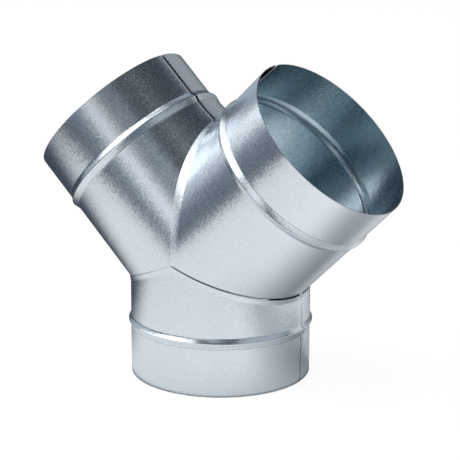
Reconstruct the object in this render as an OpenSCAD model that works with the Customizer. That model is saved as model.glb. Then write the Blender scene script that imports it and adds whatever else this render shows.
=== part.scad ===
// Duct wye: three rolled sheet-metal tubes of one diameter, mitred and lipped into a Y.
// The inlet stands on its rim at the origin, +Z up; the branches lean towards -X and +X.

/* [Duct and sheet] */
// Inside diameter of the ducts that push onto the collars
duct_d = 150; // [110:1:165]
// Radial clearance between a collar and its duct
collar_gap = 0.5; // [0.2:0.05:0.7]
// Thickness of the sheet
sheet_t = 0.6; // [0.4:0.1:0.8]

/* [Legs] */
// Inlet length, from its rim to the point where the three axes cross
inlet_len = 106.5; // [95:0.5:160]
// Left branch length, from its rim to the crossing
left_len = 146.5; // [142:0.5:220]
// Right branch length, from its rim to the crossing
right_len = 144; // [142:0.5:220]
// Lean of each branch from the vertical
branch_angle = 45; // [43:1:60]

/* [Collars and beads] */
// Straight collar, from the rim to the foot of the stop bead
collar_len = 39.5; // [25:0.5:42]
// Width of the stop bead, foot to foot
bead_w = 9.5; // [6:0.5:12]
// Height of the bead over the collar
bead_h = 2; // [1.4:0.1:3]
// Radius on the crest of the bead
bead_crest_r = 1.2; // [0.6:0.1:1.3]

/* [Lap seams] */
// Width of sheet that lies flat under the other end
lap_w = 38; // [20:1:42]
// Gap left between the two ends at the seam
lap_gap = 0.2; // [0.1:0.05:0.4]
// Place of the seam round the inlet, from its +X side
inlet_seam_angle = -4; // [-60:1:60]
// Place of the seam round the left branch, from its crotch side
left_seam_angle = -5; // [-60:1:60]
// Place of the seam round the right branch, from its crotch side
right_seam_angle = -2; // [-60:1:60]

/* [Mitre lips] */
// Width of the flared lip, square to the mitre
lip_len = 4.2; // [3:0.1:6]
// Opening between the lip's edge and the sheet inside it
lip_mouth = 0.7; // [0.5:0.05:1]
// Extra rise of the lip between the branches, at its fullest
crotch_lip_swell = 2; // [0:0.1:3]
// Clearance over the plain edge that is tucked into a lip
tuck_gap = 0.15; // [0.1:0.05:0.3]

/* [Hidden] */

$fn = 144;
zinc = [0.78, 0.81, 0.85];

// Tubes
tube_r = duct_d / 2 - collar_gap;

// Lap seam: how far round the flat end reaches, and the distance of its face from the axis,
// set so that the bead on the flat clears the bead above it by the gap
lap_angle = lap_w / tube_r * 180 / PI;
lap_depth = sheet_t + lap_gap;
flat_r = (tube_r + bead_h - lap_depth) * cos(lap_angle / 2) - bead_h;

// Mitres: one plane between the branches, and one between each branch and the inlet
mitre_tilt = branch_angle / 2;
crotch_tilt = 90;

// Lips, and how deep a plain edge can be tucked into one
lip_rise = sheet_t + lip_mouth;
tuck_len = lip_len * (lip_mouth - tuck_gap) / lip_rise;

// A lip is rooted in its tube over this length, thinned to this offset from the sheet's faces
lip_root = 1;
lip_skin = sheet_t / 4;

// Angle between the rings of a lip, and steps across the crest of the bead
lip_step = 3;
crest_steps = 5;

// Inner radii of the turned bodies that the lapped half of a tube is cut from and with
blank_r = tube_r / 2;
bore_r = tube_r / 4;

// A cutting body runs on past what it cuts by this much
overrun = 1;

// Larger than the wye in every direction
reach = 2 * (inlet_len + left_len + right_len + duct_d);

// Outline of the bead as [distance along the tube, height], its flanks tangent to the crest;
// ease makes it smaller all round, so that it nests in a full one
function bead_outline(ease) =
    let (
        half = bead_w / 2 - ease,
        crest_r = bead_crest_r - ease,
        rise = bead_h - bead_crest_r,
        flank_angle = atan2(rise, half) + asin(crest_r / norm([half, rise]))
    )
    [
        [-half, 0],
        for (i = [0:crest_steps])
            let (a = flank_angle * (2 * i / crest_steps - 1))
            [crest_r * sin(a), rise + crest_r * cos(a)],
        [half, 0]
    ];

// Face of a tube as [radius, distance from the crossing], from below its mitre to its rim and
// run on past both by past; the bead on it is made smaller all round by ease
function face_line(r, len, past, ease) =
    let (bead_at = len - collar_len - bead_w / 2)
    [
        [r, -lip_len - past],
        for (p = bead_outline(ease)) [r + p[1], bead_at + p[0]],
        [r, len + past]
    ];

// The same face closed off at a smaller radius, for turning or pushing out into a body
function body_section(r, len, past, base, ease) = [
    [base, -lip_len - past],
    each face_line(r, len, past, ease),
    [base, len + past]
];

// Turned body inside the sheet's face, cut flat at the lap; depth moves both in from that face
module lapped_body(len, depth, past, start, angle, base) {
    intersection() {
        rotate_extrude(start = start, angle = angle)
            polygon(body_section(tube_r - depth, len, past, base, 0));
        rotate([90, 0, lap_angle / 2])
            linear_extrude(reach, center = true)
                polygon(body_section(flat_r - depth, len, past + overrun, -reach, lap_gap));
    }
}

// One rolled tube along +Z from the crossing to its rim, with the lap seam at +X.
// From its outer end the sheet runs anticlockwise round the tube, turns in just before
// it comes back, and ends flat under its own start.
module rolled_tube(len) {
    outer = face_line(tube_r, len, 0, 0);
    inner = face_line(tube_r - sheet_t, len, 0, 0);
    rotate_extrude(angle = 180)
        polygon(concat(outer, [for (i = [len(inner) - 1:-1:0]) inner[i]]));
    difference() {
        lapped_body(len, 0, 0, 180, 180 + lap_angle, blank_r);
        lapped_body(len, sheet_t, overrun, 0, 360, bore_r);
    }
}

// Everything on the upper side of a plane through the crossing, leaned over by tilt
module above_mitre(tilt, offset) {
    rotate([0, tilt, 0])
        translate([-reach / 2, -reach / 2, offset])
            cube(reach);
}

// A skin swept through rings of four points; closed joins the last ring to the first
module swept_skin(rings, closed) {
    n = len(rings);
    last = closed ? n - 1 : n - 2;
    sides = [
        for (i = [0:last], k = [0:3])
            let (a = 4 * i, b = 4 * ((i + 1) % n), m = (k + 1) % 4)
            each [[a + k, b + k, b + m], [a + k, b + m, a + m]]
    ];
    ends = closed ? [] : [[0, 1, 2], [0, 2, 3],
        [4 * n - 1, 4 * n - 2, 4 * n - 3], [4 * n - 1, 4 * n - 3, 4 * n - 4]];
    polyhedron(points = [for (r = rings) each r], faces = concat(sides, ends));
}

// The four corners of a lip at angle a round its tube: d is square to the mitre, slope is
// how far the mitre runs along the tube for each radius, lean is the tube against its normal
function lip_ring(a, slope, lean, rise) = [
    for (p = [
        [lip_len + lip_root, tube_r - lip_skin],
        [0, tube_r + rise],
        [0, tube_r + rise - sheet_t],
        [lip_len + lip_root, tube_r - sheet_t + lip_skin]
    ])
        [p[1] * cos(a), p[1] * sin(a), p[1] * slope + p[0] / cos(lean)]
];

// Flared lip all round the top of the inlet, in the inlet's own frame
module inlet_lip() {
    swept_skin([
        for (a = [0:lip_step:360 - lip_step])
            lip_ring(a, abs(cos(a)) * tan(mitre_tilt), mitre_tilt, lip_rise)
    ], true);
}

// Flared lip of the right branch over the crotch, fullest halfway up each side
module crotch_lip() {
    past_end = 4 * lip_step;
    swept_skin([
        for (a = [90 - past_end:lip_step:270 + past_end])
            let (swell = crotch_lip_swell * max(0, sin(2 * abs(180 - a))))
            lip_ring(a, -cos(a) / tan(branch_angle), 90 - branch_angle, lip_rise + swell)
    ], false);
}

module inlet_tube() {
    color(zinc)
        translate([0, 0, inlet_len]) {
            difference() {
                rotate([180, 0, 0])
                    rotate([0, 0, inlet_seam_angle])
                        rolled_tube(inlet_len);
                above_mitre(mitre_tilt, -lip_len);
                above_mitre(-mitre_tilt, -lip_len);
            }
            rotate([180, 0, 0])
                inlet_lip();
        }
}

module left_branch_tube() {
    color(zinc)
        translate([0, 0, inlet_len])
            intersection() {
                rotate([0, -branch_angle, 0])
                    rotate([0, 0, left_seam_angle])
                        rolled_tube(left_len);
                above_mitre(-mitre_tilt, -tuck_len);
                above_mitre(-crotch_tilt, -tuck_len);
            }
}

module right_branch_tube() {
    color(zinc)
        translate([0, 0, inlet_len]) {
            intersection() {
                rotate([0, branch_angle, 0])
                    rotate([0, 0, 180 + right_seam_angle])
                        rolled_tube(right_len);
                above_mitre(mitre_tilt, -tuck_len);
                above_mitre(crotch_tilt, lip_len);
            }
            intersection() {
                rotate([0, branch_angle, 0])
                    crotch_lip();
                above_mitre(mitre_tilt, 0);
            }
        }
}

inlet_tube();
left_branch_tube();
right_branch_tube();
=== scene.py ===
import math

import bpy
import numpy as np
from mathutils import Matrix, Vector


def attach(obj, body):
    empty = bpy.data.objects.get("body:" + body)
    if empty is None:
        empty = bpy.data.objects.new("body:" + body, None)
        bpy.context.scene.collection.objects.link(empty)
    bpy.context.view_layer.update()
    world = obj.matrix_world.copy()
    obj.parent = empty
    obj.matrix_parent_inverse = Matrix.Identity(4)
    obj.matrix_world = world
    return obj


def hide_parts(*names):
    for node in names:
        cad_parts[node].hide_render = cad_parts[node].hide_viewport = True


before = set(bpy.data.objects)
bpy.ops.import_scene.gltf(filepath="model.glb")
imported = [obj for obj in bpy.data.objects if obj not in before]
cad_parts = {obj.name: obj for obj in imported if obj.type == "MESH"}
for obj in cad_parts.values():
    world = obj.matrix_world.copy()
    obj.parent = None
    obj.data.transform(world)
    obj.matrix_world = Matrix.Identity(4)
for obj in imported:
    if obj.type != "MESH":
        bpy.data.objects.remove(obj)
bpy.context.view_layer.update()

# The duct wye: three rolled tubes are built as closed meshes around the CAD's, each in its own
# frame (+Z from the point where the three axes cross to its rim), and put in place after that.

MM = 0.001

# ---------------------------------------------------------------- sizes, in mm, as in the CAD
TUBE_R = 74.5
SHEET = 0.6
INLET_LEN, LEFT_LEN, RIGHT_LEN = 106.5, 146.5, 144.0
BRANCH_ANGLE = math.radians(45.0)
BEAD_H = 2.0
LAP_W, LAP_GAP = 38.0, 0.2
LIP_LEN, LIP_RISE = 4.2, 1.3
TUCK = 1.75

# the flat end of a sheet: the angle that it takes up, and its distance from the axis
LAP = LAP_W / TUBE_R
FLAT_R = (TUBE_R + BEAD_H - SHEET - LAP_GAP) * math.cos(LAP / 2) - BEAD_H

# ---------------------------------------------------------------- steps of the mesh
# round the tube: degrees on the round part, and steps in the bend and on the flat
ROUND_STEP, BEND_STEPS, FLAT_STEPS = 1.0, 8, 21
# radius of the bend in which the sheet turns in, in mm
BEND_R = 9.0
# columns beside the cut end in mm, as far as the line of rust and painted gap shade along a seam
# reaches, and the next column of the round part
EDGE_COLUMNS = [0, 0.35, 0.7, 1.2, 1.7]
NEXT_COLUMN = 2.6
# along the tube: shares of the lip, of the body up to the bead, and of the collar
LIP_STEPS = [0, 0.04, 0.10, 0.2, 0.32, 0.44, 0.56, 0.66, 0.73, 0.79, 0.84, 0.88, 0.94, 1.0]
LIP_REACH = LIP_LEN + 2.2
BODY_STEPS = np.linspace(0, 1, 44)[1:-1]
COLLAR_STEPS = np.r_[np.linspace(0, 0.94, 46)[1:], 0.97, 0.985, 0.9925, 1.0]
# across a flank of the bead: [distance outside its foot, height], then shares of its width with
# the swell of the flank over a straight line, how near to the crest the flank ends, and then
# [distance from the crest, height]
FOOT_ROWS = [(1.1, 0.0), (0.55, 0.01), (0.12, 0.075), (-0.3, 0.14 * BEAD_H)]
FLANK_SHARES, FLANK_SWELL = (0.8, 0.65, 0.5, 0.35), 0.05
SHOULDER = 0.95
CREST_ROWS = [(0.62, BEAD_H - 0.10), (0.3, BEAD_H - 0.02)]
# in lap widths: how far back the sheet counts as lying under its other end, and how far each
# end is hidden by the other, on the outer face of the flat and on the inner face over it
# the hidden faces are painted dark, as painted shade of the lap's gap
UNDER, HIDDEN_FLAT, HIDDEN_START = 1.04, 0.93, 0.97

# ---------------------------------------------------------------- rust and painted shade, in mm and as shares
# across the seam: rust and painted shade of the lap's gap at the cut end, falling to the last edge
# column
SEAM_RUST_AND_SHADE = 1.15
# painted shade along the rim, where it stands on the table: from full to none over this distance
# from the rim
RIM_CONTACT_SHADE_ENDS = (0.2, 0.9)
# the row outside a bead's foot that gets painted shade, and how near to it or to the crest a row
# counts, for the painted shade at the feet and the painted dark line at the crest
FOOT_SHADE_AT, SHADE_ROW = 0.12, 0.05
# painted shade inside the bead's groove, on the inner face, and how far from its middle
GROOVE_SHADE, GROOVE_HALF = 0.55, 0.7


def smooth(x, lo, hi):
    """0 below lo, 1 above hi, smooth in between."""
    k = np.clip((np.asarray(x, float) - lo) / (hi - lo), 0, 1)
    return k * k * (3 - 2 * k)


# ---------------------------------------------------------------- the rolled sheet
def sheet_profile():
    """Cross-section of a rolled sheet: points, outward normals and arc length from its cut end.

    The sheet runs round the tube, turns in just before it comes back, and ends flat under its
    own start.
    """
    low_y = -math.sqrt((TUBE_R - BEND_R) ** 2 - (FLAT_R - BEND_R) ** 2)
    turn = LAP / 2 + math.atan2(low_y, FLAT_R - BEND_R)      # where the round part ends, below 0
    steps = int(round((360 + math.degrees(turn)) / ROUND_STEP))
    even = np.linspace(0, 2 * math.pi + turn, steps + 1)[2:]
    points, normals = [], []
    for a in np.r_[np.array(EDGE_COLUMNS) / TUBE_R, even]:
        points.append((TUBE_R * math.cos(a), TUBE_R * math.sin(a)))
        normals.append((math.cos(a), math.sin(a)))
    # the flat end, in axes square to it and along it
    ex = np.array([math.cos(LAP / 2), math.sin(LAP / 2)])
    ey = np.array([-ex[1], ex[0]])
    bend_centre = ex * (FLAT_R - BEND_R) + ey * low_y
    for a in np.linspace(turn, LAP / 2, BEND_STEPS + 1)[1:]:
        d = np.array([math.cos(a), math.sin(a)])
        points.append(tuple(bend_centre + d * BEND_R))
        normals.append(tuple(d))
    for y in np.linspace(low_y, FLAT_R * math.tan(LAP / 2), FLAT_STEPS + 1)[1:]:
        points.append(tuple(ex * FLAT_R + ey * y))
        normals.append(tuple(ex))
    points, normals = np.array(points), np.array(normals)
    run = np.r_[0, np.cumsum(np.hypot(*np.diff(points, axis=0).T))]
    return points, normals, run


def bead_rows(rim_foot, body_foot):
    """Rows across the bead as [distance from the crest towards the rim, height]."""
    sides = []
    for side, foot in ((-1, body_foot), (1, rim_foot)):
        slope = BEAD_H / foot
        rows = [(foot + past, height) for past, height in FOOT_ROWS]
        flank = [foot * share for share in FLANK_SHARES] + [SHOULDER]
        rows += [(d, BEAD_H - slope * d + FLANK_SWELL) for d in flank] + CREST_ROWS
        sides.append(sorted((side * d, max(height, 0.0)) for d, height in rows))
    return np.array(sides[0] + [(0.0, BEAD_H)] + sides[1])


def turned(xy, angle):
    c, s = math.cos(angle), math.sin(angle)
    return np.stack([xy[:, 0] * c - xy[:, 1] * s, xy[:, 0] * s + xy[:, 1] * c], 1)


def bite_edge(face, run, bite):
    """Moves the columns beside the cut end round the tube by bite, less and less from it."""
    for c in range(len(EDGE_COLUMNS)):
        a = bite * (1 - run[c] / NEXT_COLUMN) / TUBE_R
        x, y = face[:, c, 0].copy(), face[:, c, 1].copy()
        face[:, c, 0] = x * np.cos(a) - y * np.sin(a)
        face[:, c, 1] = x * np.sin(a) + y * np.cos(a)


def rust_and_shade_maps(along, run, length, crest, bead, rust_and_shade, rim_contact_shade):
    """Rust and painted shade on the outer face (rust spots and painted gap shade along the seam,
    painted shade along the rim and at the bead's feet and crest), and painted shade on the inner
    one (in the bead's groove).
    """
    to_rim = length - along
    seam = np.clip(SEAM_RUST_AND_SHADE - run[None] / EDGE_COLUMNS[-1], 0, 1) * rust_and_shade(to_rim)
    # painted shade along the rim
    rim = rim_contact_shade * (1 - smooth(to_rim, *RIM_CONTACT_SHADE_ENDS))
    off = np.abs(along - crest)
    foot = np.where(along > crest, bead["rim_foot"], bead["body_foot"])
    # painted shade in the creases at the bead's feet, and a painted dark line along its crest
    at_foot = bead["foot_shade"] * (np.abs(off - foot - FOOT_SHADE_AT) < SHADE_ROW)
    at_crest = bead["crest_shade"] * (off < SHADE_ROW)
    outer = np.maximum(np.maximum(seam, rim), np.maximum(at_foot, at_crest))
    return outer, GROOVE_SHADE * (off < GROOVE_HALF)


def tube(name, length, seam, side, bead, start, rise, press, bites, wobble, rust_and_shade, rim_contact_shade):
    """One rolled tube as grids of points, in its own frame (+Z from the crossing to its rim).

    seam: angle of the cut outer end from the tube's own +X
    side(x): how far along the tube its mitre lies, against the place along its own +X
    bead: distance of its crest from the rim, widths of its flanks, and painted shade at its feet
    and crest
    start(phi): distance of the first row from the mitre, and the mitre's lean to the tube
    rise(phi, d): flare of the lip, against the distance from the mitre
    press(ang, along, length), wobble(ang, along): a dent, and the waves of the sheet
    bites(along, length): bites in the cut outer end
    soil(d), rim_contact_shade: rust and painted shade of the gap along the seam, against the
    distance from the rim, and painted shade along the rim
    """
    points, normals, run = sheet_profile()
    base, norm = turned(points, seam), turned(normals, seam)
    phi = np.arctan2(base[:, 1], base[:, 0])
    under = run > run[-1] - LAP_W * UNDER
    crest = length - bead["at"]
    beads = bead_rows(bead["rim_foot"], bead["body_foot"])
    bead_from, bead_to = crest + beads[0, 0], crest + beads[-1, 0]
    rows = []

    def add_row(along, height):
        rows.append(np.column_stack([base + norm * height[:, None], along]))

    zero = np.zeros(len(run))
    first, lean = start(phi)
    for u in LIP_STEPS:
        d = first + (LIP_REACH - first) * u
        height = np.where(under, 0.0, rise(phi, d))
        along = side(base[:, 0] + norm[:, 0] * height) + d / np.cos(lean)
        add_row(along, height)
    lip_end = along
    for u in BODY_STEPS:
        along = lip_end + (bead_from - lip_end) * u
        d = (along - side(base[:, 0])) * np.cos(lean)
        add_row(along, np.where(under, 0.0, rise(phi, d)))
    # the bead on the flat end is smaller, so that it nests in the one above it
    ease = np.where(under, LAP_GAP, 0.0)
    for off, h in beads:
        height = np.maximum(0, h - ease) if h > LAP_GAP else np.where(under, 0, h)
        add_row(zero + (crest + off), height)
    for u in COLLAR_STEPS:
        add_row(zero + (bead_to + (length - bead_to) * u), zero)

    outer = np.stack(rows)
    inner = outer.copy()
    inner[:, :, :2] -= norm * SHEET
    for face in (outer, inner):
        ang = np.arctan2(face[:, :, 1], face[:, :, 0])
        along = face[:, :, 2]
        face[:, :, :2] *= (1 - press(ang, along, length) / TUBE_R)[:, :, None]
        face[:, :, :2] *= (1 + wobble(ang, along) / TUBE_R)[:, :, None]
    bite = bites(outer[:, 0, 2], length)
    for face in (outer, inner):
        bite_edge(face, run, bite)

    rust_and_shade_outer, groove_shade_inner = rust_and_shade_maps(outer[:, :, 2], run, length, crest, bead, rust_and_shade, rim_contact_shade)
    hidden = (run > run[-1] - LAP_W * HIDDEN_FLAT, run < LAP_W * HIDDEN_START)
    return dict(name=name, outer=outer, inner=inner, run=run, hidden=hidden,
                rust_and_shade=np.concatenate([rust_and_shade_outer.ravel(), groove_shade_inner.ravel()]))


# the inner face lies beside the outer one in the unrolled sheet, in m
INNER_UV_SHIFT = 0.7
# how far the rim shows bare steel; the other narrow edges show it wholly, and the faces hidden in
# the lap's gap are painted wholly with it as painted shade of the gap
RIM_SHEARED = 0.45
# edges sharper than this, in degrees, aren't smoothed over
SHARP = 40


def tube_object(data, place, material):
    """Makes the closed mesh of one tube: outer face, inner face and the four narrow edges."""
    P, Q, run = data["outer"], data["inner"], data["run"]
    rows, cols = P.shape[:2]
    verts = np.concatenate([P.reshape(-1, 3), Q.reshape(-1, 3)]) * MM
    o = np.arange(rows * cols).reshape(rows, cols)
    i = o + rows * cols
    strips = [
        np.stack([o[:-1, :-1], o[:-1, 1:], o[1:, 1:], o[1:, :-1]], -1).reshape(-1, 4),  # outer
        np.stack([i[:-1, :-1], i[1:, :-1], i[1:, 1:], i[:-1, 1:]], -1).reshape(-1, 4),  # inner
        np.stack([o[-1, :-1], o[-1, 1:], i[-1, 1:], i[-1, :-1]], -1),  # rim
        np.stack([o[0, 1:], o[0, :-1], i[0, :-1], i[0, 1:]], -1),  # mitre
        np.stack([o[1:, 0], i[1:, 0], i[:-1, 0], o[:-1, 0]], -1),  # cut end
        np.stack([o[:-1, -1], i[:-1, -1], i[1:, -1], o[1:, -1]], -1),  # flat end
    ]
    mesh = bpy.data.meshes.new(data["name"])
    mesh.from_pydata(verts.tolist(), [], np.concatenate(strips).tolist())
    mesh.transform(place)

    # what the material needs: the unrolled sheet, sheared edges and the hidden faces painted dark
    # as shade of the lap's gap, the inner face, painted darker as shade inside, and the rust and
    # painted shade
    uv = mesh.uv_layers.new(name="sheet")
    along = np.concatenate([P[:, :, 2].ravel(), Q[:, :, 2].ravel()]) * MM
    around = np.tile(np.tile(run, rows), 2) * MM
    around[rows * cols:] += INNER_UV_SHIFT
    loops = np.empty(len(mesh.loops), np.int32)
    mesh.loops.foreach_get("vertex_index", loops)
    uv.data.foreach_set("uv", np.stack([around[loops], along[loops]], 1).ravel())
    sizes = [len(s) for s in strips]
    steel_and_gap_shade = [np.tile(columns[:-1], rows - 1) for columns in data["hidden"]]
    steel_and_gap_shade += [np.full(sizes[2], RIM_SHEARED), np.ones(sum(sizes[3:]))]
    inside = [np.zeros(sizes[0]), np.ones(sizes[1]), np.zeros(sum(sizes[2:]))]
    for label, parts in (("bare_steel_and_gap_shade", steel_and_gap_shade), ("inner_face", inside)):
        values = np.concatenate(parts).astype(float)
        mesh.attributes.new(label, "FLOAT", "FACE").data.foreach_set("value", values)
    mesh.attributes.new("rust_and_shade", "FLOAT", "POINT").data.foreach_set("value", data["rust_and_shade"])

    mesh.validate()
    mesh.shade_smooth()
    mesh.set_sharp_from_angle(angle=math.radians(SHARP))
    obj = bpy.data.objects.new(data["name"], mesh)
    bpy.context.scene.collection.objects.link(obj)
    mesh.materials.append(material)
    return obj


# ---------------------------------------------------------------- mitres and lips
# phi is the angle round a tube from its own +X. On a branch that is the underside, and 180
# degrees is the crotch side; on the inlet it is the left branch's side.
# where a branch's mitre changes from the inlet's plane to the crotch's, in degrees of phi
MITRE_TURNS = (89.2, 90.8)
# against the angle up the crotch: rise of the lip over the crotch, and how far its edge laps
# past the mitre plane over the left branch, in mm
CROTCH_ANGLE = [0, 4, 10, 20, 30, 36, 44, 52, 60, 70, 80, 90]
CROTCH_RISE = [0.8, 1.0, 1.5, 2.2, 2.75, 2.95, 2.95, 2.75, 2.5, 2.2, 1.9, 1.6]
CROTCH_OVER = [0.0, 0.1, 0.4, 1.0, 1.6, 1.9, 1.9, 1.5, 1.0, 0.6, 0.2, 0.0]
# the two lips' length along the tube and the curve of their flare; past its mitre a lip goes
# on outwards up to this share of its length
INLET_FLARE, CROTCH_FLARE = (LIP_LEN, 1.35), (LIP_LEN + 1.4, 1.12)
FLARE_PAST = 0.5
# how much lower the inlet's lip lies than in the CAD, and how much more on the left branch's
# side, with the cosines of phi between which that comes in
INLET_LOWER, LEFT_LOWER, LEFT_FADE = 0.3, 0.3, (-0.2, 0.5)


def inlet_side(x):
    return np.abs(x) * math.tan(BRANCH_ANGLE / 2)


def branch_side(x):
    return np.maximum(x * math.tan(BRANCH_ANGLE / 2), -x / math.tan(BRANCH_ANGLE))


def branch_lean(phi):
    """Lean of a branch's mitre, and whether it is the crotch mitre (1) or the inlet's (0)."""
    crotch = smooth(np.abs(phi), *(math.radians(a) for a in MITRE_TURNS))
    inlet_lean, crotch_lean = BRANCH_ANGLE / 2, math.pi / 2 - BRANCH_ANGLE
    return inlet_lean + (crotch_lean - inlet_lean) * crotch, crotch


def inlet_start(phi):
    return np.zeros_like(phi), np.full_like(phi, BRANCH_ANGLE / 2)


def left_start(phi):
    return np.full_like(phi, -TUCK), branch_lean(phi)[0]


def crotch_up(phi):
    """Angle up the crotch from where it meets the inlet, in degrees."""
    return np.degrees(np.abs(phi)) - 90


def right_start(phi):
    lean, crotch = branch_lean(phi)
    over = np.interp(crotch_up(phi), CROTCH_ANGLE, CROTCH_OVER)
    return -TUCK * (1 - crotch) - crotch * over, lean


def flare(d, rise, root, curve):
    """Flare of a lip: rise at the mitre, 0 at its root, and on outwards past the mitre."""
    return rise * np.clip(1 - d / root, 0, 1 + FLARE_PAST) ** curve


def inlet_rise(phi, d):
    rise = LIP_RISE - INLET_LOWER - LEFT_LOWER * smooth(np.cos(phi), *LEFT_FADE)
    return flare(d, rise, *INLET_FLARE)


def right_rise(phi, d):
    rise = np.interp(crotch_up(phi), CROTCH_ANGLE, CROTCH_RISE)
    return branch_lean(phi)[1] * flare(d, rise, *CROTCH_FLARE)


def no_rise(phi, d):
    return np.zeros_like(phi)


# ---------------------------------------------------------------- dents, waves, bites, rust and painted shade
# the dent of the left tube beside its seam: its middle round the tube (180 is the crotch side,
# 90 the front) and half width in degrees, and its depth on the body and more on the collar in mm
DENT_AT, DENT_HALF, DENT_BODY, DENT_COLLAR = 210, 62, 2.6, 1.8
# the waves' number of terms, and the ranges of their turns round a tube and, in mm, of their
# lengths along it
WAVE_TERMS, WAVE_TURNS, WAVE_LENGTHS = 6, (2, 6), (30, 90)
# the bites of the stitch tool: their pitch and depth in mm
BITE_PITCH, BITE_DEPTH = 3.3, 1.1


def no_press(ang, along, length):
    return np.zeros_like(ang)


def left_press(ang, along, length):
    """The dent: it fades in from the crotch over the body, and deepens at the bead."""
    off = (np.degrees(ang) - DENT_AT + 180) % 360 - 180
    bump = np.cos(np.clip(np.abs(off) / DENT_HALF, 0, 1) * math.pi / 2) ** 2
    on_body = DENT_BODY * smooth(along, TUBE_R + 2, length - 52)
    on_collar = DENT_COLLAR * smooth(along, length - 50, length - 40)
    return bump * (on_body + on_collar)


def waves(seed, size):
    """Waves of the sheet, up to size high, from terms that are drawn with the seed."""
    rng = np.random.default_rng(seed)
    terms = [(rng.integers(*WAVE_TURNS), rng.uniform(0, 6.28), rng.uniform(*WAVE_LENGTHS),
              rng.uniform(0, 6.28), rng.uniform(0.5, 1)) for _ in range(WAVE_TERMS)]

    def wobble(ang, along):
        out = np.zeros_like(ang)
        for turns, phase, step, shift, weight in terms:
            out += weight * np.sin(turns * ang + phase) * np.sin(along / step * 2 + shift)
        return out * size / WAVE_TERMS
    return wobble


def no_bites(along, length):
    return np.zeros_like(along)


def left_bites(along, length):
    """Scalloped bites on the left collar, fading out before the rim and before the bead."""
    d = length - along
    wave = 0.5 + 0.5 * np.sin(d * 2 * math.pi / BITE_PITCH)
    return BITE_DEPTH * wave ** 2 * (smooth(d, 1.5, 4) * (1 - smooth(d, 24, 34)))


def inlet_rust_and_seam_shade(d):
    """Rust spots and painted shade of the seam's gap from the rim to the bead, faint above it, and
    a drop at the rim.
    """
    up_to_bead = 1.5 * (1 - smooth(d, 38, 42))
    above_bead = 0.4 * smooth(d, 40, 52)
    drop = 1.6 * (1 - smooth(d, 0.6, 2.4))
    return up_to_bead + above_bead + drop


# painted shade of the seam's gap, faint near the rim and stronger from 20 to 34 mm from it on
def left_seam_shade(d):
    return 0.15 + 0.5 * smooth(d, 20, 34)


# painted shade of the seam's gap, even along the tube
def right_seam_shade(d):
    return np.full_like(d, 0.8)


# ---------------------------------------------------------------- material
# sockets of a colour mix, which share their names
MIX_A, MIX_B, MIX_OUT = 6, 7, 2

ZINC_DULL, ZINC_BRIGHT = (0.66, 0.72, 0.775, 1), (0.76, 0.815, 0.86, 1)
# painted shade inside the tubes
INNER_SHADE = (0.67, 0.755, 0.775, 1)
# bare steel at the cut edges, also painted on the hidden faces as shade of the lap's gap
STEEL_AND_GAP_SHADE = (0.09, 0.094, 0.10, 1)
# dark brown of rust, also used for the painted shade along the seams, the inlet's rim and the bead
RUST_AND_SHADE_COLOUR = (0.060, 0.042, 0.036, 1)
# how far each crystal of the spangle leans its own way
CRYSTAL_TILT = 0.05


def node(nt, kind, sockets=None, **settings):
    """Adds a node; settings are its own properties, sockets its input values by name or number."""
    n = nt.nodes.new(kind)
    for key, value in settings.items():
        setattr(n, key, value)
    for key, value in (sockets or {}).items():
        n.inputs[key].default_value = value
    return n


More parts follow.
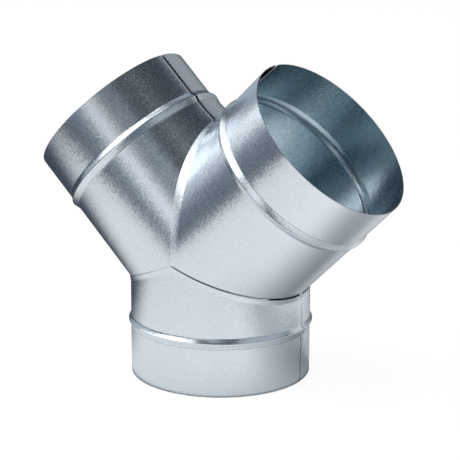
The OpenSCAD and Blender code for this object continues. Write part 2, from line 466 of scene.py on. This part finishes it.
def zinc_material():
    mat = bpy.data.materials.new("galvanised_sheet")
    mat.use_nodes = True
    nt = mat.node_tree
    nt.nodes.clear()
    link = nt.links.new
    out = node(nt, "ShaderNodeOutputMaterial")
    bsdf = node(nt, "ShaderNodeBsdfPrincipled")
    link(bsdf.outputs["BSDF"], out.inputs["Surface"])
    coord = node(nt, "ShaderNodeTexCoord")

    # spangle: small crystals, each with its own tone and gloss, over broad clouds
    cells = node(nt, "ShaderNodeTexVoronoi", {"Scale": 900.0}, feature="F1")
    fine = node(nt, "ShaderNodeTexNoise", {"Scale": 1500.0, "Detail": 3.0})
    broad = node(nt, "ShaderNodeTexNoise", {"Scale": 28.0, "Detail": 4.0})
    spots = node(nt, "ShaderNodeTexNoise", {"Scale": 420.0, "Detail": 1.0})
    for texture in (cells, fine, broad, spots):
        link(coord.outputs["Object"], texture.inputs["Vector"])
    cloud = node(nt, "ShaderNodeMath", {1: 0.45}, operation="MULTIPLY")
    link(broad.outputs["Fac"], cloud.inputs[0])
    spangle = node(nt, "ShaderNodeMath", {1: 0.55}, operation="MULTIPLY_ADD")
    link(cells.outputs["Color"], spangle.inputs[0])
    link(cloud.outputs[0], spangle.inputs[2])
    tone = node(nt, "ShaderNodeValToRGB")
    for stop, at, colour in zip(tone.color_ramp.elements, (0.15, 0.85), (ZINC_DULL, ZINC_BRIGHT)):
        stop.position, stop.color = at, colour
    link(spangle.outputs[0], tone.inputs["Fac"])

    # the inner face is painted darker and bluer than the outer one, as painted shade inside the
    # tubes
    inner = node(nt, "ShaderNodeAttribute", attribute_name="inner_face")
    shaded_inside = node(nt, "ShaderNodeMix", data_type="RGBA", blend_type="MULTIPLY")
    shaded_inside.inputs[MIX_B].default_value = INNER_SHADE
    link(inner.outputs["Fac"], shaded_inside.inputs["Factor"])
    link(tone.outputs["Color"], shaded_inside.inputs[MIX_A])

    # the sheared edges show bare steel, darker than the zinc and dull; the faces hidden in the
    # lap's gap get it too, as painted shade of the gap
    edge = node(nt, "ShaderNodeAttribute", attribute_name="bare_steel_and_gap_shade")
    steel = node(nt, "ShaderNodeMix", data_type="RGBA")
    steel.inputs[MIX_B].default_value = STEEL_AND_GAP_SHADE
    link(edge.outputs["Fac"], steel.inputs["Factor"])
    link(shaded_inside.outputs[MIX_OUT], steel.inputs[MIX_A])
    for socket, level in (("Metallic", 1.0), ("Specular IOR Level", 0.5)):
        dim = node(nt, "ShaderNodeMath", {1: -0.9 * level, 2: level}, operation="MULTIPLY_ADD")
        link(edge.outputs["Fac"], dim.inputs[0])
        link(dim.outputs[0], bsdf.inputs[socket])

    # rust in spots along the inlet's seam, and painted shade, broken into spots, along the seams'
    # gaps, the inlet's rim and the bead's feet, crest and groove
    rust_and_shade = node(nt, "ShaderNodeAttribute", attribute_name="rust_and_shade")
    patchy = node(nt, "ShaderNodeMapRange", {"From Min": 0.34, "From Max": 0.56, "To Min": 0.35})
    link(spots.outputs["Fac"], patchy.inputs["Value"])
    amount = node(nt, "ShaderNodeMath", operation="MULTIPLY", use_clamp=True)
    link(rust_and_shade.outputs["Fac"], amount.inputs[0])
    link(patchy.outputs["Result"], amount.inputs[1])
    rust_and_shade_mix = node(nt, "ShaderNodeMix", data_type="RGBA")
    rust_and_shade_mix.inputs[MIX_B].default_value = RUST_AND_SHADE_COLOUR
    link(amount.outputs[0], rust_and_shade_mix.inputs["Factor"])
    link(steel.outputs[MIX_OUT], rust_and_shade_mix.inputs[MIX_A])
    link(rust_and_shade_mix.outputs[MIX_OUT], bsdf.inputs["Base Color"])

    gloss = node(nt, "ShaderNodeMapRange", {"To Min": 0.21, "To Max": 0.30})
    link(spangle.outputs[0], gloss.inputs["Value"])
    rough = node(nt, "ShaderNodeMath", {1: 0.35}, operation="MULTIPLY_ADD")
    link(edge.outputs["Fac"], rough.inputs[0])
    link(gloss.outputs["Result"], rough.inputs[2])
    link(rough.outputs[0], bsdf.inputs["Roughness"])

    # each crystal leans a little its own way, so that reflections break up along the crystals
    facing = node(nt, "ShaderNodeNewGeometry")
    lean = node(nt, "ShaderNodeVectorMath", {1: (0.5, 0.5, 0.5)}, operation="SUBTRACT")
    link(cells.outputs["Color"], lean.inputs[0])
    tilted = node(nt, "ShaderNodeVectorMath", {1: (CRYSTAL_TILT,) * 3}, operation="MULTIPLY_ADD")
    link(lean.outputs[0], tilted.inputs[0])
    link(facing.outputs["Normal"], tilted.inputs[2])
    level = node(nt, "ShaderNodeVectorMath", operation="NORMALIZE")
    link(tilted.outputs[0], level.inputs[0])
    bump = node(nt, "ShaderNodeBump", {"Strength": 0.18, "Distance": 0.00006})
    link(fine.outputs["Fac"], bump.inputs["Height"])
    link(level.outputs[0], bump.inputs["Normal"])
    link(bump.outputs["Normal"], bsdf.inputs["Normal"])
    return mat


# ---------------------------------------------------------------- the three tubes
zinc = zinc_material()

# each bead gets painted shade at its feet and a painted dark line along its crest
inlet = tube(
    "inlet_sheet", INLET_LEN, seam=math.radians(176.2), side=inlet_side,
    bead=dict(at=45.2, rim_foot=4.85, body_foot=3.8, foot_shade=0.5, crest_shade=0.0),
    start=inlet_start, rise=inlet_rise, press=no_press, bites=no_bites,
    # painted shade along the inlet's rim, where it stands on the table
    wobble=waves(3, 0.10), rust_and_shade=inlet_rust_and_seam_shade, rim_contact_shade=0.7)
left = tube(
    "left_sheet", LEFT_LEN, seam=math.radians(175), side=branch_side,
    bead=dict(at=44.2, rim_foot=4.3, body_foot=5.5, foot_shade=0.8, crest_shade=1.0),
    start=left_start, rise=no_rise, press=left_press, bites=left_bites,
    wobble=waves(5, 0.12), rust_and_shade=left_seam_shade, rim_contact_shade=0.0)
right = tube(
    "right_sheet", RIGHT_LEN, seam=math.radians(178), side=branch_side,
    bead=dict(at=44.5, rim_foot=5.3, body_foot=3.5, foot_shade=0.6, crest_shade=0.8),
    start=right_start, rise=right_rise, press=no_press, bites=no_bites,
    wobble=waves(8, 0.12), rust_and_shade=right_seam_shade, rim_contact_shade=0.0)

crossing = Matrix.Translation((0, 0, INLET_LEN * MM))
upside_down = Matrix.Rotation(math.pi, 4, "Y")
half_round = Matrix.Rotation(math.pi, 4, "Z")
to_left = Matrix.Rotation(-BRANCH_ANGLE, 4, "Y")
to_right = Matrix.Rotation(BRANCH_ANGLE, 4, "Y")
pieces = [
    (tube_object(inlet, crossing @ upside_down, zinc), "inlet_tube"),
    (tube_object(left, crossing @ to_left @ half_round, zinc), "left_branch_tube"),
    (tube_object(right, crossing @ to_right, zinc), "right_branch_tube"),
]
for piece, cad_node in pieces:
    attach(piece, "root")
    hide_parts(cad_node)

# ---------------------------------------------------------------- camera, fitted to the photograph
CAMERA_AZ, CAMERA_EL, CAMERA_ROLL = (math.radians(a) for a in (31.449, 15.146, 0.215))
# the eye from the crossing, in tube radii: backwards, to the right and up
EYE_BACK, EYE_RIGHT, EYE_UP = 19.700, 0.102, 0.166
# focal length and width of the picture, in pixels
FOCAL_PX, PICTURE_PX, SENSOR_MM = 1775.628, 460, 36.0


def place_camera():
    back = Vector((math.sin(CAMERA_AZ) * math.cos(CAMERA_EL),
                   -math.cos(CAMERA_AZ) * math.cos(CAMERA_EL), math.sin(CAMERA_EL)))
    right = Vector((math.cos(CAMERA_AZ), math.sin(CAMERA_AZ), 0))
    up = back.cross(right)
    eye = (back * EYE_BACK + right * EYE_RIGHT + up * EYE_UP) * (TUBE_R * MM)
    eye += Vector((0, 0, INLET_LEN * MM))
    c, s = math.cos(CAMERA_ROLL), math.sin(CAMERA_ROLL)
    axes = (right * c + up * s, up * c - right * s, back, eye)
    data = bpy.data.cameras.new("camera")
    data.sensor_width = SENSOR_MM
    data.lens = FOCAL_PX / PICTURE_PX * SENSOR_MM
    data.clip_start, data.clip_end = 0.05, 100
    camera = bpy.data.objects.new("camera", data)
    bpy.context.scene.collection.objects.link(camera)
    camera.matrix_world = Matrix([[axis[k] for axis in axes] for k in range(3)] + [[0, 0, 0, 1]])
    bpy.context.scene.camera = camera


place_camera()

# ---------------------------------------------------------------- stage and light
# the studio is a dome round the object: its radius and the height of its centre, in m,
# and its steps in azimuth and elevation, in degrees
STUDIO_R, STUDIO_Z = 2.9, 0.12
STUDIO_AZ, STUDIO_EL = np.arange(-180, 180, 2.5), np.arange(-4, 90.5, 2)
# its walls and ceiling, as light that the metal reflects, and the elevation where they meet
WALL_LEFT, WALL_RIGHT = (0.033, 0.045, 0.062), (0.19, 0.25, 0.29)
CEILING = (0.045, 0.052, 0.064)
CEILING_FROM, CEILING_SOFT = 25.9, 8
# soft-edged panels and round lamps on them, each laid over the ones before it. Azimuth is in
# degrees from the front (-Y) towards +X, elevation in degrees from the horizon.
# A panel has seven values: centre, half width, bottom, top, softness of its sides and of its
# ends, light. A lamp has five: azimuth and elevation of its centre, radius, softness, light.
STUDIO_LIGHTS = {
    "back_flag": (-175.6, 21.1, 33.5, 120, 9.6, 6, (0.4, 0.46, 0.53)),
    "left_wall": (-102.7, 40.5, -30, 19.6, 8, 4, (0.43, 0.5, 0.56)),
    "front_flag": (24.0, 6.9, 19.7, 40.3, 8, 5, (0.56, 0.62, 0.70)),
    "softbox_end": (-13.0, 9.0, 26.0, 43.0, 3.5, 4, (1.85, 1.86, 1.86)),
    "softbox": (-52.8, 36.1, 18.0, 68.8, 3.3, 6, (1.92, 1.93, 1.93)),
    "top_light": (-2.6, 82.8, 8.6, 2.1, (3.08, 3.12, 3.15)),
    "right_fill": (88.1, 22.3, 28.1, 6.2, (0.46, 0.49, 0.54)),
    "right_spot": (65.0, 42.8, 9.5, 6.0, (0.60, 0.61, 0.62)),
    "left_fill": (-98.2, 53.0, 20.3, 4.0, (1.34, 1.37, 1.38)),
    "back_fill": (155.6, 0.1, 28.5, 6.8, (0.82, 0.82, 0.82)),
    "back_wall": (176.0, 21.0, -30, 32.0, 4, 4, (0.37, 0.38, 0.40)),
    "seam_fill": (168.0, 25.0, 9.0, 2.0, (0.42, 0.43, 0.46)),
    "left_flag": (-37.7, 26.3, -30, 17.0, 8, 4, (0.13, 0.16, 0.21)),
    "right_flag": (31.8, 14.7, -30, 2.5, 8, 3, (0.04, 0.05, 0.05)),
    "front_strip": (6.0, 16.9, -30, 19.7, 5, 3, (1.1, 1.11, 1.12)),
}

# the table: its glow and colour, and its half width in m
TABLE_GLOW, TABLE_WHITE, TABLE_HALF = 0.9, (0.24, 0.24, 0.24), 3
# what the metal sees of it, in m and as light: the colour beyond the lit pool, and the pool's
# centre, radii, softness and light
TABLE_BEYOND = (0.04, 0.055, 0.08)
POOL_AT, POOL_R, POOL_SOFT, POOL_LIGHT = (-0.033, -0.469), (0.443, 0.449), 0.260, 0.86
# a second lit patch, to the right and behind
PATCH_AT, PATCH_R, PATCH_LIGHT = (0.468, 0.249), 0.319, 1.28
# a lit sector behind, by the inlet's seam: azimuth, half width, softness, light, and where it ends
SECTOR_AT, SECTOR_HALF, SECTOR_SOFT, SECTOR_LIGHT = 152.0, 20.0, 6, 0.30
SECTOR_ENDS = (0.3, 0.5)
# the object's own shade round it, and the dark line under its rim
SHADE_AT, SHADE_R, SHADE = (0.032, -0.009), 0.105, 0.31
RIM_SHADE_FROM, RIM_SHADE_WIDTH, RIM_SHADE = 0.0748, 0.0022, 0.85
# the cover on the table that shows all this to the metal: its rings in m, its steps round in
# degrees, and its height over the table in m
COVER_RINGS = np.r_[RIM_SHADE_FROM, 0.0755, 0.0765, 0.0785, np.arange(0.081, 0.16, 0.006),
                    np.arange(0.16, 0.6, 0.02), np.arange(0.6, 3.0, 0.15)]
COVER_STEP, COVER_Z = 5, 0.0005


def emission(name, colour, strength):
    """A material that only glows, with its tree, glow and output for further links."""
    mat = bpy.data.materials.new(name)
    mat.use_nodes = True
    nt = mat.node_tree
    nt.nodes.clear()
    out = node(nt, "ShaderNodeOutputMaterial")
    glow = node(nt, "ShaderNodeEmission", {"Color": (*colour, 1), "Strength": strength})
    nt.links.new(glow.outputs[0], out.inputs["Surface"])
    mat.cycles.emission_sampling = "NONE"
    return mat, nt, glow, out


def stage_mesh(name, verts, faces, mat):
    mesh = bpy.data.meshes.new(name)
    mesh.from_pydata([tuple(v) for v in verts], [], [tuple(f) for f in faces])
    mesh.materials.append(mat)
    obj = bpy.data.objects.new(name, mesh)
    bpy.context.scene.collection.objects.link(obj)
    return obj


def ring_faces(rows, cols):
    """Faces of a grid that closes round its columns."""
    r, c = np.meshgrid(np.arange(rows - 1), np.arange(cols), indexing="ij")
    n = (c + 1) % cols
    corners = [r * cols + c, r * cols + n, (r + 1) * cols + n, (r + 1) * cols + c]
    return np.stack(corners, -1).reshape(-1, 4)


def direction(az, el):
    a, e = np.radians(az), np.radians(el)
    return np.stack([np.sin(a) * np.cos(e), -np.cos(a) * np.cos(e), np.sin(e)], -1)


def panel(az, el, centre, half, low, high, soft_side, soft_end):
    """How much of a soft-edged panel is seen in each direction."""
    off = np.abs((az - centre + 180) % 360 - 180)
    across = 1 - smooth(off, half - soft_side, half + soft_side)
    over_low = smooth(el, low - soft_end, low + soft_end)
    return across * over_low * (1 - smooth(el, high - soft_end, high + soft_end))


def lamp(az, el, centre, height, radius, soft):
    """How much of a round lamp is seen in each direction."""
    off = np.degrees(np.arccos(np.clip(direction(az, el) @ direction(centre, height), -1, 1)))
    return 1 - smooth(off, radius - soft, radius + soft)


def studio_light(az, el):
    """Light of the studio in each direction, in red, green and blue."""
    side = (0.5 - 0.5 * np.cos(np.radians(az + 90)))[:, None]      # 0 on the left, 1 on the right
    light = np.array(WALL_LEFT) * (1 - side) + np.array(WALL_RIGHT) * side
    top = smooth(el, CEILING_FROM - CEILING_SOFT, CEILING_FROM + CEILING_SOFT)[:, None]
    light = light * (1 - top) + np.array(CEILING) * top
    for *shape, colour in STUDIO_LIGHTS.values():
        seen = (panel if len(shape) == 6 else lamp)(az, el, *shape)[:, None]
        light = light * (1 - seen) + np.array(colour) * seen
    return light


def studio():
    """A dome round the object that only the object sees, painted with the studio's light."""
    mat, nt, glow, _ = emission("studio_light", (1, 1, 1), 1.0)
    paint = node(nt, "ShaderNodeAttribute", attribute_name="light")
    nt.links.new(paint.outputs["Color"], glow.inputs["Color"])
    az, el = [a.ravel() for a in np.meshgrid(STUDIO_AZ, STUDIO_EL)]
    points = direction(az, el) * STUDIO_R
    points[:, 2] += STUDIO_Z
    obj = stage_mesh("studio", points, ring_faces(len(STUDIO_EL), len(STUDIO_AZ)), mat)
    colours = np.column_stack([studio_light(az, el), np.ones(len(az))])
    layer = obj.data.color_attributes.new("light", "FLOAT_COLOR", "POINT")
    layer.data.foreach_set("color", colours.ravel())
    obj.visible_camera = False


def table_light(x, y, r, azimuth):
    """How much of the lit table shows at each point of its cover, from 0 to 1."""
    far = np.hypot((x - POOL_AT[0]) / POOL_R[0], (y - POOL_AT[1]) / POOL_R[1])
    pool = POOL_LIGHT * (1 - smooth(far, 1 - POOL_SOFT / 2, 1 + POOL_SOFT))
    from_patch = (x - PATCH_AT[0]) ** 2 + (y - PATCH_AT[1]) ** 2
    patch = PATCH_LIGHT * np.exp(-from_patch / PATCH_R ** 2)
    off = np.abs(azimuth - SECTOR_AT)
    sector = 1 - smooth(off, SECTOR_HALF - SECTOR_SOFT, SECTOR_HALF + SECTOR_SOFT)
    sector = SECTOR_LIGHT * sector * (1 - smooth(r, *SECTOR_ENDS))
    near = np.hypot(x - SHADE_AT[0], y - SHADE_AT[1]) / SHADE_R
    rim_shade = RIM_SHADE * np.exp(-((r - RIM_SHADE_FROM) / RIM_SHADE_WIDTH) ** 2)
    lit = np.minimum(pool + patch + sector, 1)
    return lit * (1 - SHADE * np.exp(-near ** 2)) * (1 - rim_shade)


def table_edge():
    """The darker table beyond the lit pool, seen only by the metal; it thins out over the pool."""
    mat, nt, glow, out = emission("table_beyond", TABLE_BEYOND, 1.0)
    clear = node(nt, "ShaderNodeBsdfTransparent")
    mix = node(nt, "ShaderNodeMixShader")
    paint = node(nt, "ShaderNodeAttribute", attribute_name="cover")
    nt.links.new(paint.outputs["Fac"], mix.inputs["Fac"])
    nt.links.new(clear.outputs[0], mix.inputs[1])
    nt.links.new(glow.outputs[0], mix.inputs[2])
    nt.links.new(mix.outputs[0], out.inputs["Surface"])
    azimuths = np.radians(np.arange(0, 360, COVER_STEP))
    r, a = [v.ravel() for v in np.meshgrid(COVER_RINGS, azimuths, indexing="ij")]
    x, y = r * np.sin(a), -r * np.cos(a)
    points = np.column_stack([x, y, np.full_like(x, COVER_Z)])
    obj = stage_mesh("table_edge", points, ring_faces(len(COVER_RINGS), len(azimuths)), mat)
    layer = obj.data.attributes.new("cover", "FLOAT", "POINT")
    layer.data.foreach_set("value", 1 - table_light(x, y, r, np.degrees(a)))
    obj.visible_camera = obj.visible_diffuse = obj.visible_shadow = False


def table():
    """The white table. It glows a little, so that it shows white and keeps the object's shadow."""
    mat, nt, glow, out = emission("table", (1, 1, 1), TABLE_GLOW)
    skin = node(nt, "ShaderNodeBsdfDiffuse", {"Color": (*TABLE_WHITE, 1)})
    both = node(nt, "ShaderNodeAddShader")
    nt.links.new(glow.outputs[0], both.inputs[0])
    nt.links.new(skin.outputs[0], both.inputs[1])
    nt.links.new(both.outputs[0], out.inputs["Surface"])
    h = TABLE_HALF
    stage_mesh("table", [(-h, -h, 0), (h, -h, 0), (h, h, 0), (-h, h, 0)], [(0, 1, 2, 3)], mat)


table()
table_edge()
studio()

world = bpy.data.worlds.new("world")
bpy.context.scene.world = world
world.use_nodes = True
background = world.node_tree.nodes["Background"]
background.inputs["Color"].default_value = (1, 1, 1, 1)
background.inputs["Strength"].default_value = 1.0

bpy.context.scene.view_settings.view_transform = "Standard"
